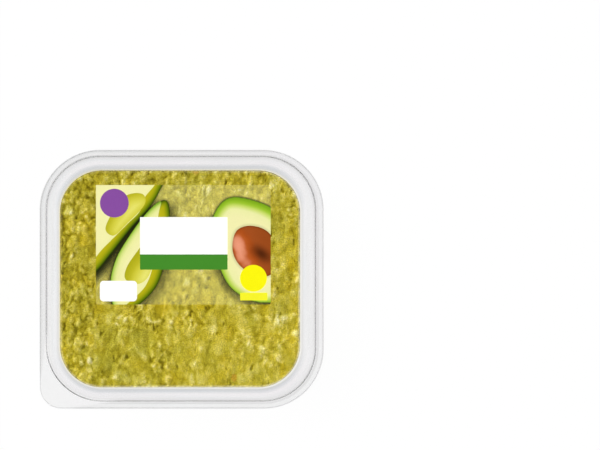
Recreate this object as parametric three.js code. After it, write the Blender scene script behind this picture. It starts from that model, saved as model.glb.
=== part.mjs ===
// A shallow clear tub of guacamole, sealed with a peelable film that carries a printed label.
// Millimetres, +Z up. The tub stands on its base, and the origin is on the base under the middle
// of the cut edge. +X runs along the longer side, and the squarer peel corner is at -X -Y.
import * as THREE from 'three';

// ---- Driving dimensions (mm) ----

const TUB_HEIGHT = 19; // base to the flat land that the film is sealed to
const SHEET = 0.5; // thickness of the thermoformed sheet
const WALL_DRAFT = THREE.MathUtils.degToRad(12);
const FLOOR_RADIUS = 4;
const MOUTH_RADIUS = 1.5;

// Outlines seen from above. The hollow and the land are a little off the middle of the cut edge.
const MOUTH = { x: -0.75, y: 0.2, halfX: 51.5, halfY: 46.5, radius: 18, peelRadius: 18 };
const LAND_EDGE = { x: -0.3, y: 0.3, halfX: 57.65, halfY: 52.4, radius: 22.8, peelRadius: 24 };
const CUT_EDGE = { x: 0, y: 0, halfX: 61, halfY: 55.6, radius: 25.9, peelRadius: 9.3 };

const LAND_WIDTH = 6.2;
const STEP_DROP = 1.05; // the outer lip lies this much lower than the land
const STEP_RUN = 0.1;
const STEP_RADIUS = 0.3;
const LIP_WIDTH = 3.3;
const RIM_TURN = 0.5; // how far the cut edge is turned down

const FILM = 0.3;
const LABEL = { x: 0.75, y: 14.85, halfX: 37.45, halfY: 25.6, radius: 0.8, peelRadius: 0.8 };
const LABEL_THICKNESS = 0.2;

const MASH_GAP = 0.3; // clearance between the guacamole and the tub
const MASH_FLOOR = 17.5; // the hollows between the lumps
const MASH_CEILING = 18.65; // lumps that reach this high are pressed flat by the film
const MASH_COLUMNS = 60;
const MASH_ROWS = 54;
const LUMPS = [
  { cellX: 3.8, cellY: 5.0, height: 0.75, seed: 11 },
  { cellX: 2.5, cellY: 3.2, height: 0.5, seed: 37 },
];
const LUMP_JITTER = 0.8; // how far a lump strays from the middle of its cell, in cells
const LUMP_REACH = [0.6, 0.95]; // smallest and largest radius, in cells
const LUMP_SWELL = [0.35, 1]; // lowest and highest lump, as a share of the layer's height

const CORNER_STEPS = 8;
const FILLET_STEPS = 3;

// ---- Outlines and rings ----

const lerp = THREE.MathUtils.lerp;

function blendOutlines(a, b, t) {
  const keys = ['x', 'y', 'halfX', 'halfY', 'radius', 'peelRadius'];
  return Object.fromEntries(keys.map((key) => [key, lerp(a[key], b[key], t)]));
}

function offsetOutline(outline, by) {
  return {
    ...outline,
    halfX: outline.halfX + by,
    halfY: outline.halfY + by,
    radius: outline.radius + by,
    peelRadius: outline.peelRadius + by,
  };
}

// The tub's outline at a distance out from its mouth: below zero it is the wall of the hollow,
// then the land, the step round the land, the lip and, parallel to the cut edge, the rim.
function tubOutline(out) {
  const cut = LAND_WIDTH + LIP_WIDTH;
  const stepEnd = LAND_WIDTH + STEP_RUN + STEP_RADIUS;
  const rimStart = cut - SHEET - STEP_RADIUS;
  if (out <= 0) return offsetOutline(MOUTH, out);
  if (out <= LAND_WIDTH) return blendOutlines(MOUTH, LAND_EDGE, out / LAND_WIDTH);
  if (out <= stepEnd) return offsetOutline(LAND_EDGE, out - LAND_WIDTH);
  if (out >= rimStart) return offsetOutline(CUT_EDGE, out - cut);
  const share = (out - stepEnd) / (rimStart - stepEnd);
  return blendOutlines(tubOutline(stepEnd), tubOutline(rimStart), share);
}

// The points of a rounded rectangle, anticlockwise from above, at one height.
function ring(outline, z) {
  const points = [];
  const corners = [[1, 1], [-1, 1], [-1, -1], [1, -1]];
  corners.forEach(([signX, signY], quarter) => {
    const isPeelCorner = signX < 0 && signY < 0;
    const radius = isPeelCorner ? outline.peelRadius : outline.radius;
    const centreX = outline.x + signX * (outline.halfX - radius);
    const centreY = outline.y + signY * (outline.halfY - radius);
    for (let step = 0; step <= CORNER_STEPS; step += 1) {
      const angle = (quarter + step / CORNER_STEPS) * (Math.PI / 2);
      const x = centreX + radius * Math.cos(angle);
      const y = centreY + radius * Math.sin(angle);
      points.push(new THREE.Vector3(x, y, z));
    }
  });
  return points;
}

// ---- Closed solids, built ring by ring ----

class Solid {
  constructor() {
    this.positions = [];
    this.faces = [];
  }

  add(point) {
    this.positions.push(point.x, point.y, point.z);
    return this.positions.length / 3 - 1;
  }

  addRing(points) {
    return points.map((point) => this.add(point));
  }

  // Joins two rings of equal length; the surface faces right of the way from first to second.
  bridge(first, second) {
    first.forEach((corner, i) => {
      const next = (i + 1) % first.length;
      this.faces.push(corner, first[next], second[next]);
      this.faces.push(corner, second[next], second[i]);
    });
  }

  // Closes a ring with a flat fan round the given middle point.
  cap(loop, middle, facesUp) {
    const hub = this.add(middle);
    loop.forEach((corner, i) => {
      const next = loop[(i + 1) % loop.length];
      if (facesUp) this.faces.push(hub, corner, next);
      else this.faces.push(hub, next, corner);
    });
  }

  geometry() {
    const geometry = new THREE.BufferGeometry();
    geometry.setAttribute('position', new THREE.Float32BufferAttribute(this.positions, 3));
    geometry.setIndex(this.faces);
    geometry.computeVertexNormals();
    return geometry;
  }
}

function middleOf(outline, z) {
  return new THREE.Vector3(outline.x, outline.y, z);
}

// A solid whose surface runs through the given rings, each an outline with a height.
function lofted(sections) {
  const solid = new Solid();
  const loops = sections.map(({ outline, z }) => solid.addRing(ring(outline, z)));
  for (let i = 1; i < loops.length; i += 1) solid.bridge(loops[i - 1], loops[i]);
  const first = sections[0];
  const last = sections[sections.length - 1];
  solid.cap(loops[0], middleOf(first.outline, first.z), false);
  solid.cap(loops[loops.length - 1], middleOf(last.outline, last.z), true);
  return solid.geometry();
}

function sheet(outline, bottom, top) {
  return lofted([{ outline, z: bottom }, { outline, z: top }]);
}

// ---- The tub's section: x is the distance out from the mouth, y the height ----

// Replaces each corner that has a radius by an arc that is tangent to both its sides.
function filleted(corners) {
  const points = [];
  corners.forEach(({ at, radius }, i) => {
    if (!radius) {
      points.push(at);
      return;
    }
    const before = at.clone().sub(corners[i - 1].at).normalize();
    const after = corners[i + 1].at.clone().sub(at).normalize();
    const turn = Math.atan2(before.cross(after), before.dot(after));
    const start = at.clone().addScaledVector(before, -radius * Math.tan(Math.abs(turn) / 2));
    const side = new THREE.Vector2(-before.y, before.x).multiplyScalar(Math.sign(turn));
    const centre = start.clone().addScaledVector(side, radius);
    for (let step = 0; step <= FILLET_STEPS; step += 1) {
      const point = start.clone().rotateAround(centre, (turn * step) / FILLET_STEPS);
      points.push(point);
    }
  });
  return points;
}

// The line shifted to its left by the given distance, with mitred corners.
function shifted(line, by) {
  const normals = line.slice(1).map((point, i) => {
    const along = point.clone().sub(line[i]).normalize();
    return new THREE.Vector2(-along.y, along.x);
  });
  return line.map((point, i) => {
    const before = normals[Math.max(i - 1, 0)];
    const after = normals[Math.min(i, normals.length - 1)];
    const mitre = before.clone().add(after).normalize();
    return point.clone().addScaledVector(mitre, by / mitre.dot(after));
  });
}

function tubSection() {
  const half = SHEET / 2;
  const landHeight = TUB_HEIGHT - half;
  const lipHeight = landHeight - STEP_DROP;
  const floorEdge = -(landHeight - half) * Math.tan(WALL_DRAFT);
  const rim = LAND_WIDTH + LIP_WIDTH - half;
  const corner = (x, y, radius) => ({ at: new THREE.Vector2(x, y), radius });
  return filleted([
    corner(floorEdge - 2 * FLOOR_RADIUS, half),
    corner(floorEdge, half, FLOOR_RADIUS),
    corner(0, landHeight, MOUTH_RADIUS),
    corner(LAND_WIDTH, landHeight, STEP_RADIUS),
    corner(LAND_WIDTH + STEP_RUN, lipHeight, STEP_RADIUS),
    corner(rim, lipHeight, STEP_RADIUS),
    corner(rim, lipHeight - RIM_TURN - half),
  ]);
}

const toSection = (point) => ({ outline: tubOutline(point.x), z: point.y });

function tray() {
  const middle = tubSection();
  const outside = shifted(middle, -SHEET / 2);
  const inside = shifted(middle, SHEET / 2).reverse();
  return lofted([...outside, ...inside].map(toSection));
}

// ---- The guacamole's lumpy surface ----

// A repeatable random number from 0 to 1 for a cell of the lump grid.
function cellRandom(column, row, seed) {
  let bits = Math.imul(column, 374761393) + Math.imul(row, 668265263);
  bits = Math.imul((bits + Math.imul(seed, 974634777)) | 0, 1274126177);
  bits = Math.imul(bits ^ (bits >>> 15), 2246822519);
  bits = Math.imul(bits ^ (bits >>> 13), 3266489917);
  return ((bits ^ (bits >>> 16)) >>> 0) / 2 ** 32;
}

// The height of the tallest rounded lump over a point, from one layer of lumps.
function lumpHeight(x, y, { cellX, cellY, height, seed }) {
  const u = x / cellX;
  const v = y / cellY;
  let tallest = 0;
  for (let column = Math.floor(u) - 1; column <= Math.floor(u) + 1; column += 1) {
    for (let row = Math.floor(v) - 1; row <= Math.floor(v) + 1; row += 1) {
      const strayX = LUMP_JITTER * (cellRandom(column, row, seed) - 0.5);
      const strayY = LUMP_JITTER * (cellRandom(column, row, seed + 1) - 0.5);
      const reach = lerp(...LUMP_REACH, cellRandom(column, row, seed + 2));
      const swell = lerp(...LUMP_SWELL, cellRandom(column, row, seed + 3));
      const distance = Math.hypot(u - column - 0.5 - strayX, v - row - 0.5 - strayY) / reach;
      tallest = Math.max(tallest, swell * (1 - distance ** 2));
    }
  }
  return height * tallest;
}

function mashHeight(x, y) {
  const heights = LUMPS.map((layer) => lumpHeight(x, y, layer));
  const total = heights.reduce((sum, height) => sum + height, MASH_FLOOR);
  return Math.min(total, MASH_CEILING);
}

// Moves a point of the square from -1 to 1 into a rounded rectangle, along its ray.
function intoOutline(outline, u, v) {
  const reach = Math.max(Math.abs(u), Math.abs(v)) || 1;
  const edge = new THREE.Vector2(Math.abs(u), Math.abs(v)).divideScalar(reach);
  edge.multiply(new THREE.Vector2(outline.halfX, outline.halfY));
  const centre = new THREE.Vector2(outline.halfX, outline.halfY).subScalar(outline.radius);
  let pull = 1;
  if (edge.x > centre.x && edge.y > centre.y) {
    const along = edge.dot(centre);
    const square = edge.lengthSq();
    const rest = along ** 2 - square * (centre.lengthSq() - outline.radius ** 2);
    pull = (along + Math.sqrt(rest)) / square;
  }
  const x = outline.x + pull * outline.halfX * u;
  const y = outline.y + pull * outline.halfY * v;
  return new THREE.Vector2(x, y);
}

// Where the border of the square grid lies, anticlockwise.
function borderCells() {
  const cells = [];
  for (let i = 0; i < MASH_COLUMNS; i += 1) cells.push([i, 0]);
  for (let j = 0; j < MASH_ROWS; j += 1) cells.push([MASH_COLUMNS, j]);
  for (let i = MASH_COLUMNS; i > 0; i -= 1) cells.push([i, MASH_ROWS]);
  for (let j = MASH_ROWS; j > 0; j -= 1) cells.push([0, j]);
  return cells;
}

function guacamole() {
  const solid = new Solid();
  const place = (outline, i, j) => {
    return intoOutline(outline, (2 * i) / MASH_COLUMNS - 1, (2 * j) / MASH_ROWS - 1);
  };

  // The top surface, out to the wall's slope at the height of the mash.
  const lining = shifted(tubSection(), SHEET / 2 + MASH_GAP);
  const slack = (SHEET / 2 + MASH_GAP) / Math.cos(WALL_DRAFT);
  const brim = tubOutline(-(TUB_HEIGHT - MASH_FLOOR) * Math.tan(WALL_DRAFT) - slack);
  const top = [];
  for (let i = 0; i <= MASH_COLUMNS; i += 1) {
    top.push([]);
    for (let j = 0; j <= MASH_ROWS; j += 1) {
      const { x, y } = place(brim, i, j);
      top[i].push(solid.add(new THREE.Vector3(x, y, mashHeight(x, y))));
    }
  }
  for (let i = 0; i < MASH_COLUMNS; i += 1) {
    for (let j = 0; j < MASH_ROWS; j += 1) {
      solid.faces.push(top[i][j], top[i + 1][j], top[i + 1][j + 1]);
      solid.faces.push(top[i][j], top[i + 1][j + 1], top[i][j + 1]);
    }
  }

  // The sides follow the inside of the tub from the floor up to the foot of its rounded mouth.
  const cells = borderCells();
  const wallTop = 1 + FILLET_STEPS + 1;
  const wall = lining.slice(1, wallTop + 1).map((point) => {
    const outline = tubOutline(point.x);
    const points = cells.map(([i, j]) => {
      const { x, y } = place(outline, i, j);
      return new THREE.Vector3(x, y, point.y);
    });
    return solid.addRing(points);
  });
  const border = cells.map(([i, j]) => top[i][j]);
  for (let i = 1; i < wall.length; i += 1) solid.bridge(wall[i - 1], wall[i]);
  solid.bridge(wall[wall.length - 1], border);
  solid.cap(wall[0], middleOf(MOUTH, lining[1].y), false);
  return solid.geometry();
}

// ---- The part ----

function piece(name, geometry, look) {
  const mesh = new THREE.Mesh(geometry, new THREE.MeshStandardMaterial(look));
  mesh.name = name;
  return mesh;
}

const clear = { color: 0xf2f4f5, roughness: 0.12, metalness: 0, transparent: true, opacity: 0.3 };
const green = { color: 0xb6a836, roughness: 0.45, metalness: 0 };
const print = { color: 0xbfb35f, roughness: 0.35, metalness: 0, transparent: true, opacity: 0.8 };

const filmTop = TUB_HEIGHT + FILM;
const tub = new THREE.Group();
tub.add(piece('tray', tray(), { ...clear, side: THREE.DoubleSide }));
tub.add(piece('guacamole', guacamole(), green));
tub.add(piece('film_lid', sheet(CUT_EDGE, TUB_HEIGHT, filmTop), clear));
tub.add(piece('label', sheet(LABEL, filmTop, filmTop + LABEL_THICKNESS), print));

export default tub;
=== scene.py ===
"""A sealed clear tub of guacamole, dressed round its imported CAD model.

Lengths are in millimetres and are turned into metres when a mesh is made. The row's frame has +X to
the right of the label, +Y to its top and +Z up out of the tub, with the origin under the tub.
"""
import math

import bpy
import numpy as np
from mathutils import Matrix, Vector
from mathutils.geometry import delaunay_2d_cdt


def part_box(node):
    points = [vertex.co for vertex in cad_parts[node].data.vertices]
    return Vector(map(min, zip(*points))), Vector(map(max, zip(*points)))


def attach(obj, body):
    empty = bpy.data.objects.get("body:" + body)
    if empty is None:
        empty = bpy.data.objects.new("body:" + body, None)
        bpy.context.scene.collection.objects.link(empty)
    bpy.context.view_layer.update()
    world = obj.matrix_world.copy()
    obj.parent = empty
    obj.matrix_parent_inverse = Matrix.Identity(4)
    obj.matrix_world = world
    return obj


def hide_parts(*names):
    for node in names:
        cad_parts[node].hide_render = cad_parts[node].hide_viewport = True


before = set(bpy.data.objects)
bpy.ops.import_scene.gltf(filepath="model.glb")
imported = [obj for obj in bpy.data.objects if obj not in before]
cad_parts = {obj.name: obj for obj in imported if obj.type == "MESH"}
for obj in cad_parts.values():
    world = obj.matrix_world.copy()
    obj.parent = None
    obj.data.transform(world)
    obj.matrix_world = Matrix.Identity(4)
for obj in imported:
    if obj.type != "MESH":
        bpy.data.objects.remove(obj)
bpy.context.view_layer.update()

MM = 0.001
TINY = 1e-12  # keeps a length that is divided by from being nothing


def box_mm(node):
    """The lowest and highest corner of a CAD node, in millimetres."""
    low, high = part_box(node)
    return np.array(low) / MM, np.array(high) / MM


_, TRAY_HIGH = box_mm("tray")
FILM_LOW, FILM_HIGH = box_mm("film_lid")
LABEL_LOW, LABEL_HIGH = box_mm("label")

# ---- Sizes that the CAD model shares (mm) ----

SHEET = 0.5
WALL_DRAFT = math.radians(12)
FLOOR_RADIUS = 4
MOUTH_RADIUS = 1.5
LAND_WIDTH = 6.2
STEP_DROP = 1.05
STEP_RUN = 0.1
STEP_RADIUS = 0.3
LIP_WIDTH = 3.3
RIM_TURN = 0.5
TUB_HEIGHT = TRAY_HIGH[2]
MASH_FLOOR = 17.5
LUMPS = (
    {"cell": (3.8, 5.0), "height": 0.75, "seed": 11},
    {"cell": (2.5, 3.2), "height": 0.5, "seed": 37},
)
LUMP_JITTER = 0.8
LUMP_REACH = (0.6, 0.95)
LUMP_SWELL = (0.35, 1.0)

# ---- Sizes of the looks alone (mm) ----

CORNER_STEPS = 48
SIDE_STEPS = 24
FILLET_STEPS = 7
MASH_CEILING = 18.82  # the film presses the highest lumps flat
MASH_PRESS = 0.15  # the last stretch under the film, in which they flatten
MASH_SINK = 0.1  # how far the finer hollows lie below the CAD model's
MASH_BITE = 0.08  # how far the guacamole reaches into the tub's wall
MASH_COLUMNS = 286
MASH_ROWS = 260
WALL_ROWS = 34
LUMP_BLENDING = 9
FINE_LUMPS = (
    {"cell": (2.1, 2.7), "height": 0.3, "seed": 53, "roundness": 0.8, "blending": 6},
    {"cell": (1.3, 1.6), "height": 0.24, "seed": 71, "roundness": 0.7, "blending": 7},
)
GRAINS = {"cell": (0.75, 0.85), "height": 0.12, "seed": 83, "roundness": 0.7}
SCRAPS = {"cell": (3.4, 4.6), "height": 1.0, "seed": 91, "roundness": 0.5}
TUB_GRAIN = 0.6  # the longest face across the tub's section
FILM_COLUMNS = 60
FILM_ROWS = 54
SEAM = 0.03  # a hair's breadth between two sheets, so that neither's face lies in the other's


# ---- Outlines seen from above ----


class Outline:
    """A rounded rectangle with one squarer corner at -X -Y."""

    def __init__(self, x, y, half_x, half_y, radius, peel_radius=None):
        self.values = np.array([x, y, half_x, half_y, radius, peel_radius or radius], float)
        self.x, self.y, self.half_x, self.half_y, self.radius, self.peel_radius = self.values

    def offset(self, by):
        """The outline moved outwards."""
        return Outline(*(self.values + by * np.array([0, 0, 1, 1, 1, 1])))

    def blend(self, other, t):
        """An outline between this one, at 0, and another, at 1."""
        return Outline(*(self.values * (1 - t) + other.values * t))

    def ring(self, z, corner_steps=CORNER_STEPS, side_steps=SIDE_STEPS):
        """The outline's points, anticlockwise from above, at one height."""
        arcs = []
        for quarter, (sign_x, sign_y) in enumerate(((1, 1), (-1, 1), (-1, -1), (1, -1))):
            radius = self.peel_radius if quarter == 2 else self.radius
            centre_x = self.x + sign_x * (self.half_x - radius)
            centre_y = self.y + sign_y * (self.half_y - radius)
            angles = (quarter + np.linspace(0, 1, corner_steps + 1)) * math.pi / 2
            x = centre_x + radius * np.cos(angles)
            y = centre_y + radius * np.sin(angles)
            arcs.append(np.stack([x, y, np.full_like(x, z)], axis=1))
        points = []
        for arc, following in zip(arcs, arcs[1:] + arcs[:1]):
            points += [arc, np.linspace(arc[-1], following[0], side_steps + 1)[1:-1]]
        return np.vstack(points)

    def place(self, u, v):
        """Moves points of the square from -1 to 1 into the outline, each along its ray."""
        reach = np.maximum(np.maximum(abs(u), abs(v)), TINY)
        edge_x = abs(u) / reach * self.half_x
        edge_y = abs(v) / reach * self.half_y
        radius = np.where((u < 0) & (v < 0), self.peel_radius, self.radius)
        centre_x = self.half_x - radius
        centre_y = self.half_y - radius
        along = edge_x * centre_x + edge_y * centre_y
        square = edge_x**2 + edge_y**2
        rest = along**2 - square * (centre_x**2 + centre_y**2 - radius**2)
        pull = (along + np.sqrt(np.maximum(rest, 0))) / square
        pull = np.where((edge_x > centre_x) & (edge_y > centre_y), pull, 1.0)
        return self.x + pull * self.half_x * u, self.y + pull * self.half_y * v


CUT_EDGE = Outline(0, 0, TRAY_HIGH[0], TRAY_HIGH[1], 25.9, 9.3)
LAND_EDGE = Outline(-0.3, 0.3, 57.65, 52.4, 22.8, 24)
MOUTH = Outline(-0.75, 0.2, 51.5, 46.5, 18)
MIDDLE = (MOUTH.x, MOUTH.y)


def tub_outline(out):
    """The tub's outline at a distance out from its mouth, as the CAD model has it."""
    cut = LAND_WIDTH + LIP_WIDTH
    step_end = LAND_WIDTH + STEP_RUN + STEP_RADIUS
    rim_start = cut - SHEET - STEP_RADIUS
    if out <= 0:
        return MOUTH.offset(out)
    if out <= LAND_WIDTH:
        return MOUTH.blend(LAND_EDGE, out / LAND_WIDTH)
    if out <= step_end:
        return LAND_EDGE.offset(out - LAND_WIDTH)
    if out >= rim_start:
        return CUT_EDGE.offset(out - cut)
    share = (out - step_end) / (rim_start - step_end)
    return tub_outline(step_end).blend(tub_outline(rim_start), share)


def distance_to(outline, points):
    """How far each point is from a closed outline, below zero inside it."""
    runs = np.roll(outline, -1, axis=0) - outline
    nearest = np.full(len(points), np.inf)
    inside = np.zeros(len(points), bool)
    x, y = points.T
    for (start_x, start_y), (run_x, run_y) in zip(outline, runs):
        square = max(run_x**2 + run_y**2, TINY)
        along = np.clip(((x - start_x) * run_x + (y - start_y) * run_y) / square, 0, 1)
        away = np.hypot(x - start_x - along * run_x, y - start_y - along * run_y)
        nearest = np.minimum(nearest, away)
        crosses = (start_y > y) != (start_y + run_y > y)
        if run_y:
            inside ^= crosses & (x < start_x + run_x * (y - start_y) / run_y)
    return np.where(inside, -nearest, nearest)


def filleted(corners, steps=FILLET_STEPS):
    """Replaces each corner that has a radius by an arc that is tangent to both its sides."""
    points = []
    for i, (at, radius) in enumerate(corners):
        at = np.array(at, float)
        if not radius:
            points.append(at)
            continue
        before = at - corners[i - 1][0]
        after = np.array(corners[i + 1][0]) - at
        before /= np.linalg.norm(before)
        after /= np.linalg.norm(after)
        turn = math.atan2(before[0] * after[1] - before[1] * after[0], before @ after)
        start = at - before * radius * math.tan(abs(turn) / 2)
        side = np.array([-before[1], before[0]]) * math.copysign(1, turn)
        centre = start + side * radius
        for step in range(steps + 1):
            cos, sin = math.cos(turn * step / steps), math.sin(turn * step / steps)
            arm = start - centre
            swung = np.array([cos * arm[0] - sin * arm[1], sin * arm[0] + cos * arm[1]])
            points.append(centre + swung)
    return np.array(points)


def shifted(line, by):
    """The line shifted to its left by the given distance, with mitred corners."""
    along = np.diff(line, axis=0)
    along /= np.linalg.norm(along, axis=1)[:, None]
    normals = np.stack([-along[:, 1], along[:, 0]], axis=1)
    before = np.vstack([normals[:1], normals])
    after = np.vstack([normals, normals[-1:]])
    mitre = before + after
    mitre /= np.linalg.norm(mitre, axis=1)[:, None]
    return line + mitre * (by / (mitre * after).sum(axis=1))[:, None]


def way_round(ring):
    """Each point's distance along a closed ring from its first point, the shorter way round."""
    steps = np.linalg.norm(np.roll(ring, -1, axis=0) - ring, axis=1)
    ahead = np.cumsum(steps) - steps
    return np.minimum(ahead, steps.sum() - ahead)


def refined(line, longest):
    """The line with points added until no stretch is longer than the given length."""
    points = [line[:1]]
    for start, end in zip(line, line[1:]):
        parts = max(1, math.ceil(np.linalg.norm(end - start) / longest))
        points.append(np.linspace(start, end, parts + 1)[1:])
    return np.vstack(points)


def tub_section():
    """The middle of the tub's sheet: x is the distance out from the mouth, y the height."""
    half = SHEET / 2
    land_height = TUB_HEIGHT - half
    lip_height = land_height - STEP_DROP
    floor_edge = -(land_height - half) * math.tan(WALL_DRAFT)
    rim = LAND_WIDTH + LIP_WIDTH - half
    return filleted([
        ((floor_edge - 2 * FLOOR_RADIUS, half), None),
        ((floor_edge, half), FLOOR_RADIUS),
        ((0, land_height), MOUTH_RADIUS),
        ((LAND_WIDTH, land_height), STEP_RADIUS),
        ((LAND_WIDTH + STEP_RUN, lip_height), STEP_RADIUS),
        ((rim, lip_height), STEP_RADIUS),
        ((rim, lip_height - RIM_TURN - half), None),
    ])


# ---- Repeatable noise ----


def cell_random(column, row, seed):
    """A repeatable random number from 0 to 1 for each cell, the same as the CAD model's."""
    with np.errstate(over="ignore"):
        column = np.asarray(column).astype(np.int64).astype(np.uint32)
        row = np.asarray(row).astype(np.int64).astype(np.uint32)
        bits = column * np.uint32(374761393) + row * np.uint32(668265263)
        bits = (bits + np.uint32(seed * 974634777 % 2**32)) * np.uint32(1274126177)
        bits = (bits ^ (bits >> np.uint32(15))) * np.uint32(2246822519)
        bits = (bits ^ (bits >> np.uint32(13))) * np.uint32(3266489917)
        bits = bits ^ (bits >> np.uint32(16))
    return bits / 2.0**32


def lump_layer(x, y, cell, height, seed, roundness=1.0, blending=None):
    """The height of the lumps over each point, and the number of the lump there.

    A lump with a roundness under 1 has steeper sides, as a ball has. Without a blending, the
    tallest lump counts alone. With one, the lumps and their numbers run into each other, the more
    so the lower it is.
    """
    u, v = x / cell[0], y / cell[1]
    tallest = np.zeros_like(u)
    number = np.zeros_like(u)
    piled = np.ones_like(u)
    mixed = 0.5 * np.ones_like(u)
    for step_x in (-1, 0, 1):
        for step_y in (-1, 0, 1):
            column = np.floor(u) + step_x
            row = np.floor(v) + step_y
            draws = [cell_random(column, row, seed + draw) for draw in range(5)]
            away_x = u - column - 0.5 - LUMP_JITTER * (draws[0] - 0.5)
            away_y = v - row - 0.5 - LUMP_JITTER * (draws[1] - 0.5)
            away = np.hypot(away_x, away_y) / np.interp(draws[2], (0, 1), LUMP_REACH)
            swell = np.interp(draws[3], (0, 1), LUMP_SWELL)
            lump = swell * np.maximum(1 - away**2, 0) ** roundness
            own = draws[4]
            number = np.where(lump > tallest, own, number)
            tallest = np.maximum(tallest, lump)
            weight = np.exp(lump * (blending or 0)) - 1
            piled += weight
            mixed += weight * own
    if blending:
        return height * np.log(piled) / blending, mixed / piled
    return height * tallest, number


def value_noise(x, y, seed):
    """Smooth noise from 0 to 1 with one wave for each unit of length."""
    column, row = np.floor(x), np.floor(y)
    u, v = x - column, y - row
    u = u * u * (3 - 2 * u)
    v = v * v * (3 - 2 * v)
    low = cell_random(column, row, seed) * (1 - u) + cell_random(column + 1, row, seed) * u
    high = cell_random(column, row + 1, seed) * (1 - u)
    high += cell_random(column + 1, row + 1, seed) * u
    return low * (1 - v) + high * v


def fractal(x, y, size, seed, octaves=4):
    """Layered smooth noise from about -1 to 1, whose largest waves have the given size."""
    total = np.zeros_like(x)
    for octave in range(octaves):
        scale = 2**octave / size
        total += (value_noise(x * scale, y * scale, seed + octave) * 2 - 1) / 2**octave
    return total / 1.5


def pattern(x, y, depth, size, seed, octaves):
    """Layered smooth noise from about minus the depth to the depth."""
    return depth * fractal(x, y, size, seed, octaves)


def drawn_out(x, y, sizes, seed, octaves):
    """Layered smooth noise whose largest waves have one size along x and another along y."""
    return fractal(x / sizes[0], y / sizes[1], 1.0, seed, octaves)


def smooth_step(low, high, value):
    """Runs smoothly from 0 at one value to 1 at another, which may be the lower one."""
    t = np.clip((value - low) / (high - low), 0, 1)
    return t * t * (3 - 2 * t)


def rising(least, share):
    """From the given least, where the share is 0, to 1, where the share is 1."""
    return least + (1 - least) * share


def graded(value, stops):
    """Colours for a value, blended between (value, colour) stops."""
    at = [stop for stop, _ in stops]
    channels = np.array([colour for _, colour in stops])
    return np.stack([np.interp(value, at, channel) for channel in channels.T], axis=-1)


# ---- Objects and meshes ----


def new_object(name, data):
    """Makes an object and puts it into the scene."""
    made = bpy.data.objects.new(name, data)
    bpy.context.scene.collection.objects.link(made)
    return made


class Shape:
    """Points, faces and each point's colour and opacity, gathered into one closed mesh."""

    def __init__(self):
        self.points = []
        self.colours = []
        self.faces = []

    def add(self, points, colours=None):
        """Adds points (in mm), and returns their numbers."""
        points = np.asarray(points, float).reshape(-1, 3)
        tints = np.ones((len(points), 4))
        if colours is not None:
            colours = np.asarray(colours, float)
            tints[:, : colours.shape[-1]] = colours
        first = sum(len(earlier) for earlier in self.points)
        self.points.append(points)
        self.colours.append(tints)
        return first + np.arange(len(points))

    def join(self, *corners):
        """Adds faces, given as the numbers of their first corners, their second and so on."""
        faces = np.stack([numbers.ravel() for numbers in corners], axis=1)
        self.faces.extend(faces.tolist())

    def bridge(self, first, second):
        """Joins two rings of equal length, facing right of the way from first to second."""
        self.join(first, np.roll(first, -1), np.roll(second, -1), second)

    def bridge_to_finer(self, first, second):
        """Joins a ring to one with twice its points, facing right of the way to the second."""
        even, odd = second[::2], second[1::2]
        self.join(first, np.roll(first, -1), np.roll(even, -1), odd, even)

    def cap(self, ring, middle, faces_up, colour=None):
        """Closes a ring with a fan round a middle point."""
        hub = self.add([middle], colour)[0]
        following = np.roll(ring, -1)
        first, second = (ring, following) if faces_up else (following, ring)
        self.join(np.full(len(ring), hub), first, second)

    def grid(self, numbers):
        """Covers a grid of points, numbered as [column, row], with faces that look up."""
        self.join(numbers[:-1, :-1], numbers[1:, :-1], numbers[1:, 1:], numbers[:-1, 1:])

    def build(self, name, material, node, smooth=True, crease=None):
        """Makes the object, which rides on the tub and stands for a CAD node if one is given.

        The edges between the points numbered in crease stay sharp where the rest is smooth.
        """
        mesh = bpy.data.meshes.new(name)
        points = np.vstack(self.points) * MM
        mesh.from_pydata(points.tolist(), [], self.faces)
        layer = mesh.color_attributes.new("tint", "FLOAT_COLOR", "POINT")
        layer.data.foreach_set("color", np.vstack(self.colours).ravel())
        mesh.polygons.foreach_set("use_smooth", [smooth] * len(mesh.polygons))
        if crease is not None:
            ends = np.empty(2 * len(mesh.edges), int)
            mesh.edges.foreach_get("vertices", ends)
            sharp = np.isin(ends, crease).reshape(-1, 2).all(axis=1)
            mesh.edges.foreach_set("use_edge_sharp", sharp)
        mesh.materials.append(material)
        piece = new_object(name, mesh)
        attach(piece, "root")
        if node:
            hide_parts(node)
        return piece


def square_grid(columns, rows):
    """The x and y of a grid over the square from -1 to 1, as [column, row]."""
    across, along = np.linspace(-1, 1, columns + 1), np.linspace(-1, 1, rows + 1)
    return np.meshgrid(across, along, indexing="ij")


def border(numbers):
    """The border of a grid of point numbers, anticlockwise from above."""
    sides = (numbers[:-1, 0], numbers[-1, :-1], numbers[:0:-1, -1], numbers[0, :0:-1])
    return np.concatenate(sides)


# ---- Materials ----


def srgb(red, green, blue):
    """A colour given as 0 to 255, as the numbers that the shaders use."""
    share = np.array([red, green, blue], float) / 255
    return np.where(share <= 0.04045, share / 12.92, ((share + 0.055) / 1.055) ** 2.4)


def colour_stops(*rows):
    """Stops for graded colours, each given as its place, red, green and blue."""
    return [(at, srgb(*colour)) for at, *colour in rows]


NOISE_RANGE = (0.3, 0.7)  # where a shader's noise mostly lies


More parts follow.
